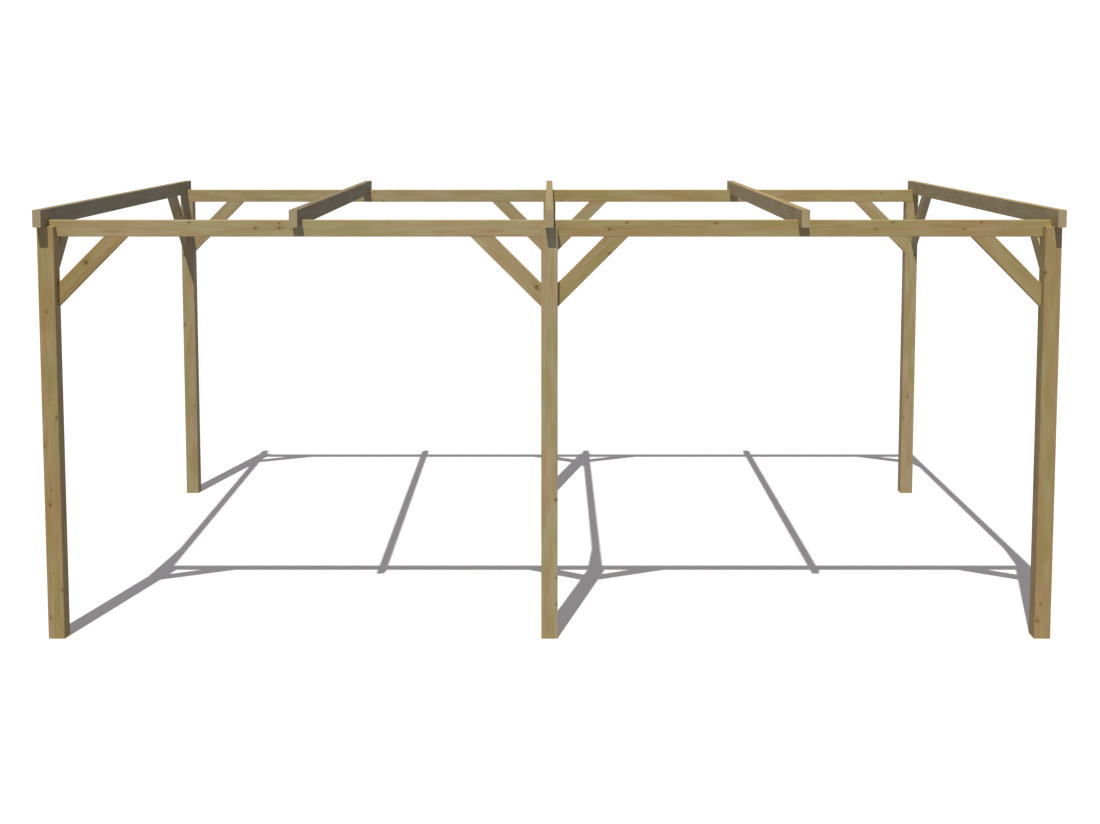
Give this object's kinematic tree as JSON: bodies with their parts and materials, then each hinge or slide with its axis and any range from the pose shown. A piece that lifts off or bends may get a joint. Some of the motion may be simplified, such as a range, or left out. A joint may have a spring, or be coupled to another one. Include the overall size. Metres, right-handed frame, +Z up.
{
  "type": "carport",
  "caption": "Free-standing open timber carport frame: rebated posts, beams on their shoulders, notched rafters and diagonal knee braces over parking bays.",
  "frame": {"origin": "on the ground at the middle of the frame, half way between the outer posts and half way between the two rows", "axes": "+X along the beams to the right as seen from the front, +Y from the front row to the back row, +Z up"},
  "size_m": [5.55, 3.285, 2.385],
  "materials": {
    "post_timber": "planed, pressure-treated softwood",
    "beam_timber": "planed, pressure-treated softwood",
    "rafter_timber": "planed, pressure-treated softwood",
    "brace_timber": "planed, pressure-treated softwood"
  },
  "bodies": {
    "root": {"front_left_post": "post_timber", "front_centre_post": "post_timber", "front_right_post": "post_timber", "back_left_post": "post_timber", "back_centre_post": "post_timber", "back_right_post": "post_timber", "front_left_beam": "beam_timber", "front_right_beam": "beam_timber", "back_left_beam": "beam_timber", "back_right_beam": "beam_timber", "left_end_rafter": "rafter_timber", "left_middle_rafter": "rafter_timber", "centre_rafter": "rafter_timber", "right_middle_rafter": "rafter_timber", "right_end_rafter": "rafter_timber", "front_left_beam_brace": "brace_timber", "front_centre_left_beam_brace": "brace_timber", "front_centre_right_beam_brace": "brace_timber", "front_right_beam_brace": "brace_timber", "back_left_beam_brace": "brace_timber", "back_centre_left_beam_brace": "brace_timber", "back_centre_right_beam_brace": "brace_timber", "back_right_beam_brace": "brace_timber", "front_left_rafter_brace": "brace_timber", "front_centre_rafter_brace": "brace_timber", "front_right_rafter_brace": "brace_timber", "back_left_rafter_brace": "brace_timber", "back_centre_rafter_brace": "brace_timber", "back_right_rafter_brace": "brace_timber"}
  },
  "joints": []
}
